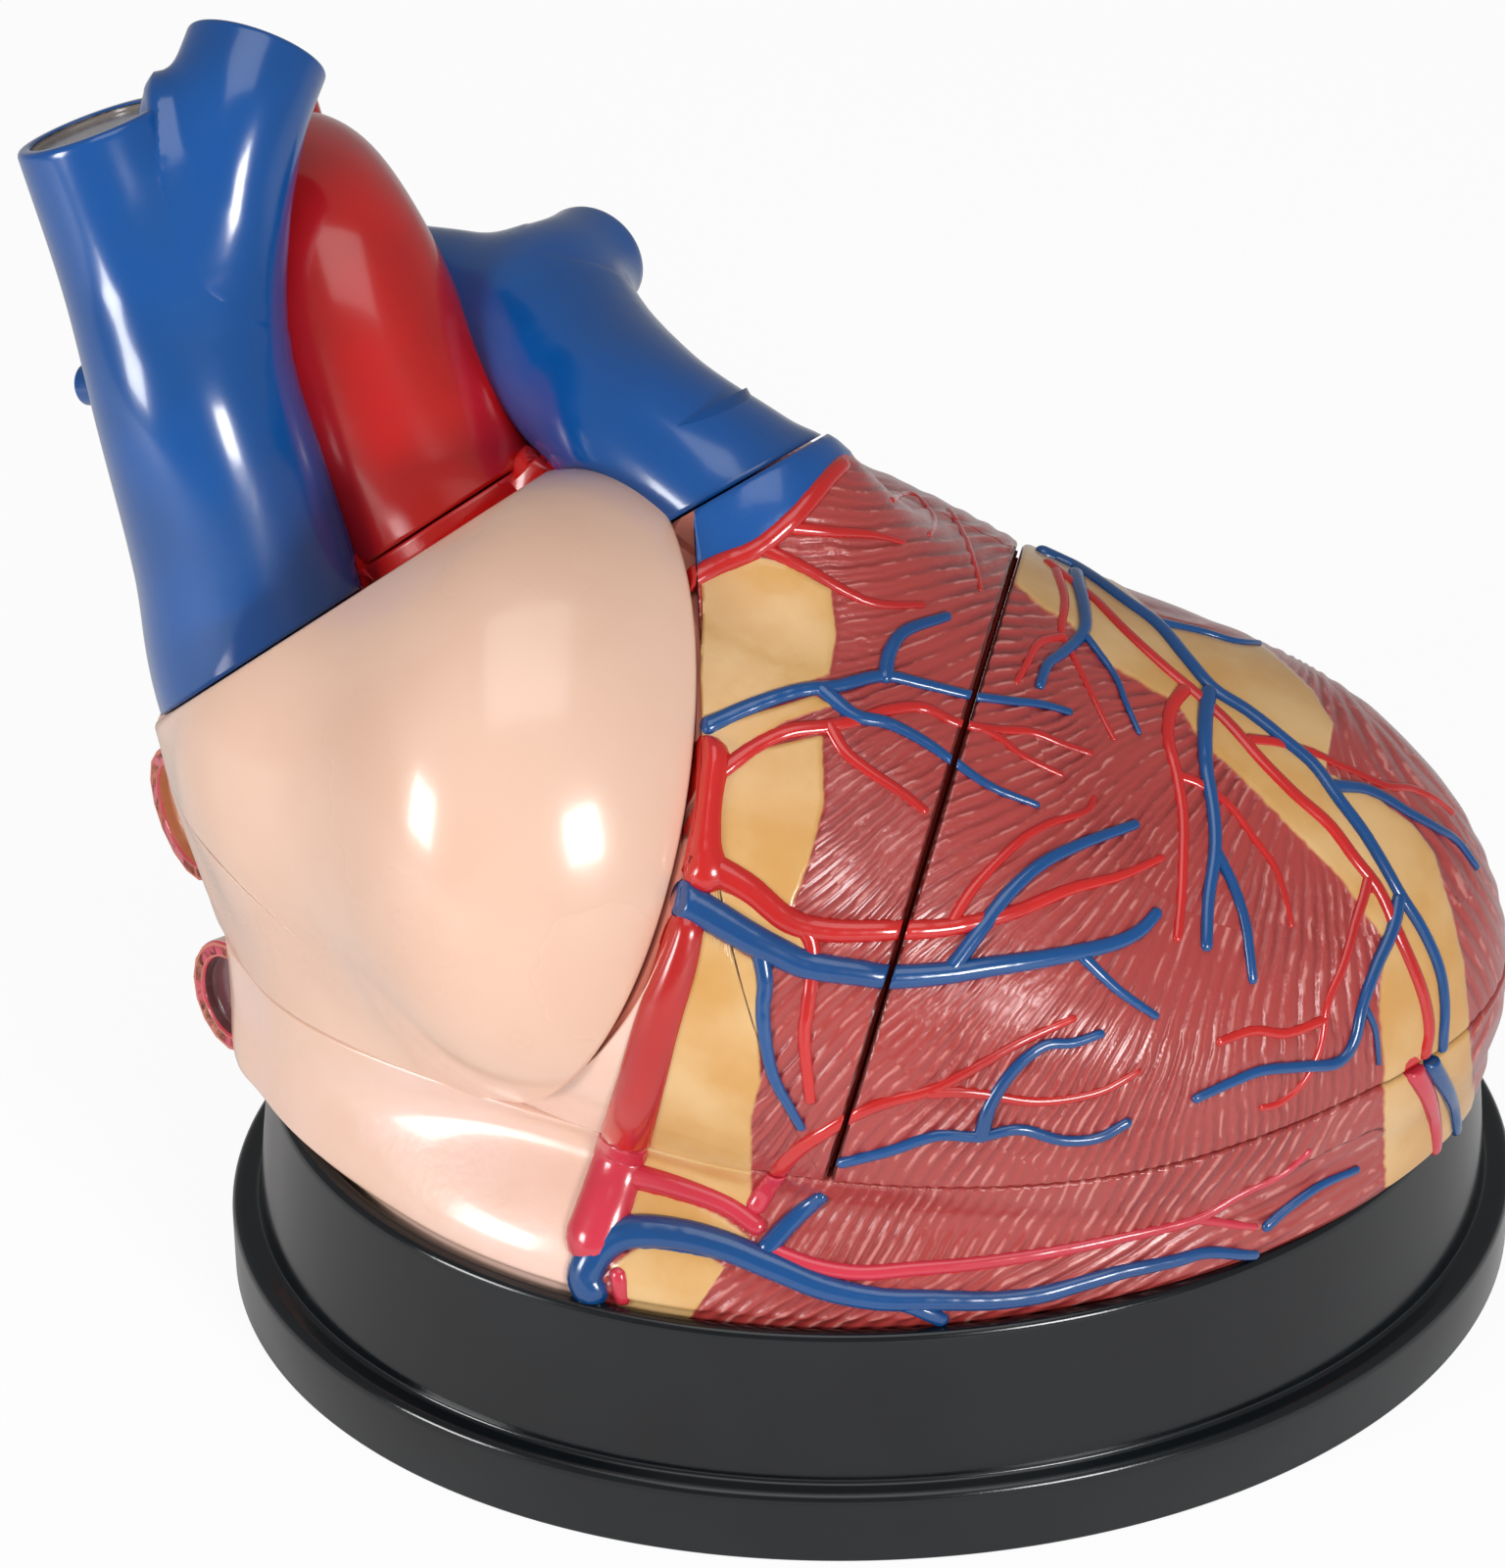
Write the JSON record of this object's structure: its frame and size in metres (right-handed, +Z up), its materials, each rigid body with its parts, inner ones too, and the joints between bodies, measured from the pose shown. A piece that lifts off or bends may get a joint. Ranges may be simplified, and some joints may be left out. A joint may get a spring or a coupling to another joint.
{
  "type": "human heart anatomy model",
  "caption": "Enlarged teaching model of a human heart that opens into sections and lifts off an oval stand.",
  "frame": {"origin": "centre of the oval stand on the surface that it stands on", "axes": "+X along the stand towards the tip of the heart, +Y away from the viewer, +Z up"},
  "size_m": [0.314, 0.247, 0.276],
  "materials": {
    "stand": "gloss black",
    "muscle": "gloss painted red-brown muscle",
    "atrium_skin": "gloss pale pink",
    "vein": "gloss painted blue",
    "artery": "gloss painted red",
    "valve": "satin cream",
    "inner_muscle": "satin pink-red",
    "magnet": "nickel plate"
  },
  "bodies": {
    "stand": {"stand": "stand"},
    "heart": {"lower_heart": "muscle", "rear_wall": "muscle", "tricuspid_rear_leaflet": "valve", "tricuspid_septal_leaflet": "valve", "mitral_rear_leaflet": "valve", "mitral_front_leaflet": "valve", "right_front_papillary_muscle": "inner_muscle", "right_rear_papillary_muscle": "inner_muscle", "left_front_papillary_muscle": "inner_muscle", "left_rear_papillary_muscle": "inner_muscle", "aortic_cusps": "valve", "front_wall_lower_magnet": "magnet", "tip_lower_magnet": "magnet", "cover_lower_magnet": "magnet"},
    "front_wall": {"ventricle_front_wall": "muscle", "tricuspid_front_leaflet": "valve", "pulmonary_cusps": "valve", "front_wall_upper_magnet": "magnet"},
    "cover": {"atrium_cover": "atrium_skin", "cover_upper_magnet": "magnet"},
    "tip": {"tip_section": "muscle", "tip_upper_magnet": "magnet"},
    "vessels": {"vena_cava": "vein", "aorta": "artery", "pulmonary_trunk": "vein"}
  },
  "joints": [
    {"name": "heart_lift", "type": "slide", "parent": "stand", "child": "heart", "axis": [0, 0, 1], "range_m": [0, 0.09]},
    {"name": "front_wall_pull", "type": "slide", "parent": "heart", "child": "front_wall", "axis": [-0.3094, -0.9489, 0.0619], "range_m": [0, 0.12]},
    {"name": "atrium_cover_pull", "type": "slide", "parent": "front_wall", "child": "cover", "axis": [-0.4165, -0.885, 0.2082], "range_m": [0, 0.1]},
    {"name": "tip_pull", "type": "slide", "parent": "heart", "child": "tip", "axis": [0.8915, -0.2026, 0.4052], "range_m": [0, 0.09]},
    {"name": "vessels_lift", "type": "slide", "parent": "heart", "child": "vessels", "axis": [-0.3008, 0.2005, 0.9324], "range_m": [0, 0.1]}
  ]
}
